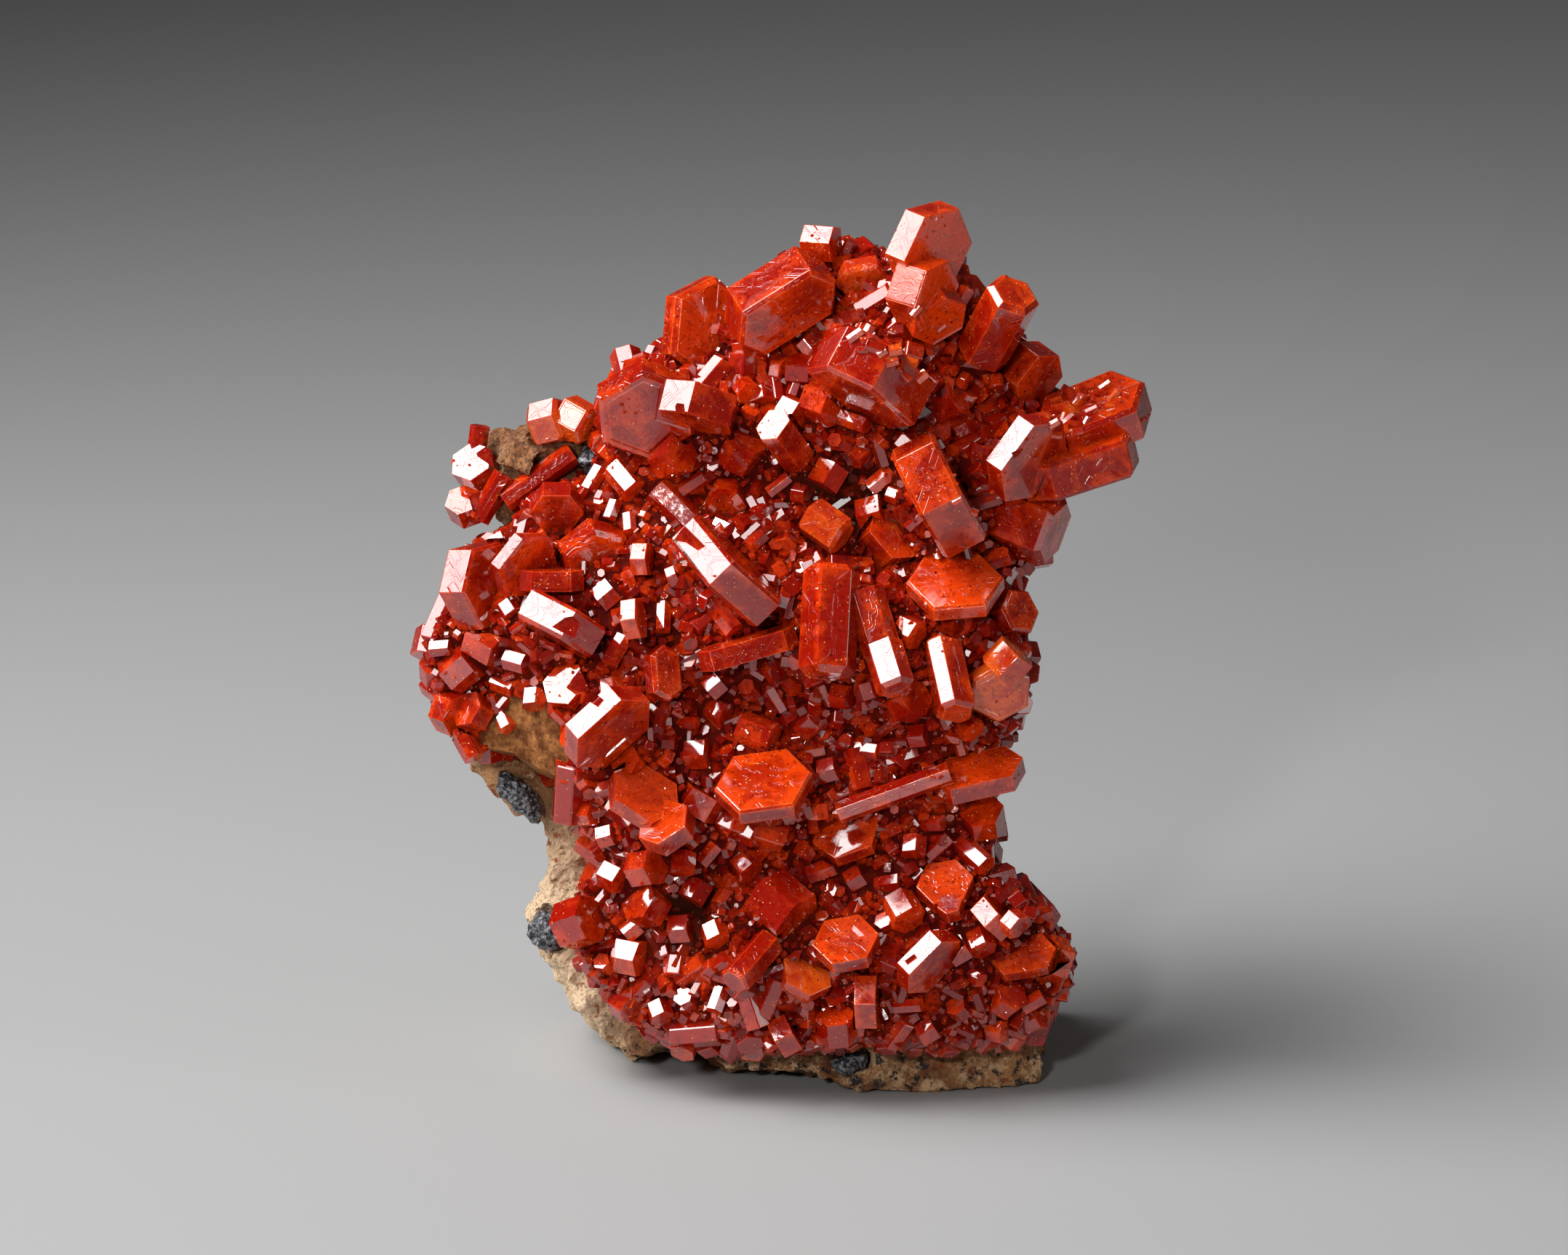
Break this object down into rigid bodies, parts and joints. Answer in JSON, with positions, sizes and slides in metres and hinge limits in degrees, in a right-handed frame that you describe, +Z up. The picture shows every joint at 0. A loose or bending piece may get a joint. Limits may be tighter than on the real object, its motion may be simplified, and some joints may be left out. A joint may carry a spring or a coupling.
{
  "type": "mineral specimen",
  "caption": "Hexagonal red vanadinite crystals crowded over the front of a leaning piece of rock matrix that stands on its flat foot",
  "frame": {"origin": "centre of the flat foot of the rock, on the surface that the specimen stands on", "axes": "+Z up out of the foot, along the specimen's longest extent; -Y toward the crystal-covered front; +X to the right of the front view"},
  "size_m": [0.055, 0.0352, 0.0676],
  "materials": {
    "rock": "matte",
    "crust": "glossy",
    "vanadinite": "glossy",
    "amber_vanadinite": "glossy",
    "ore": "satin"
  },
  "bodies": {
    "root": {"matrix": "rock", "crystal_crust": "crust", "ore_elbow": "ore", "ore_lobe": "ore", "ore_arm": "ore", "ore_foot": "ore", "crown_cluster": "vanadinite", "great_slab": "vanadinite", "top_bud": "vanadinite", "back_left_plate": "vanadinite", "right_horn": "vanadinite", "shoulder_plate": "vanadinite", "amber_shard": "amber_vanadinite", "brow_slab": "vanadinite", "square_facet": "vanadinite", "pale_pair": "amber_vanadinite", "right_wing": "vanadinite", "cheek_slab": "vanadinite", "shelf_plate": "vanadinite", "middle_posts": "vanadinite", "narrow_post": "vanadinite", "golden_pair": "vanadinite", "right_bud": "vanadinite", "low_right_pair": "vanadinite", "under_bar_plate": "vanadinite", "great_plate": "vanadinite", "left_plates": "vanadinite", "purple_facet": "vanadinite", "split_log": "vanadinite", "cross_bar": "vanadinite", "slanted_log": "vanadinite", "red_lozenge": "vanadinite", "left_boxes": "vanadinite", "pencil_low": "vanadinite", "pencil_high": "vanadinite", "left_drum": "vanadinite", "left_cap": "vanadinite", "arm_cluster": "vanadinite", "arm_amber": "amber_vanadinite", "elbow_pair": "vanadinite", "bright_hook": "vanadinite", "foot_log": "vanadinite", "foot_plate": "vanadinite", "foot_bar": "vanadinite", "amber_plate": "amber_vanadinite", "right_foot_pair": "vanadinite", "pink_pair": "vanadinite", "foot_post": "vanadinite", "toe_post": "vanadinite", "amber_middle": "amber_vanadinite", "hex_behind": "vanadinite", "seat_pair": "vanadinite"}
  },
  "joints": []
}
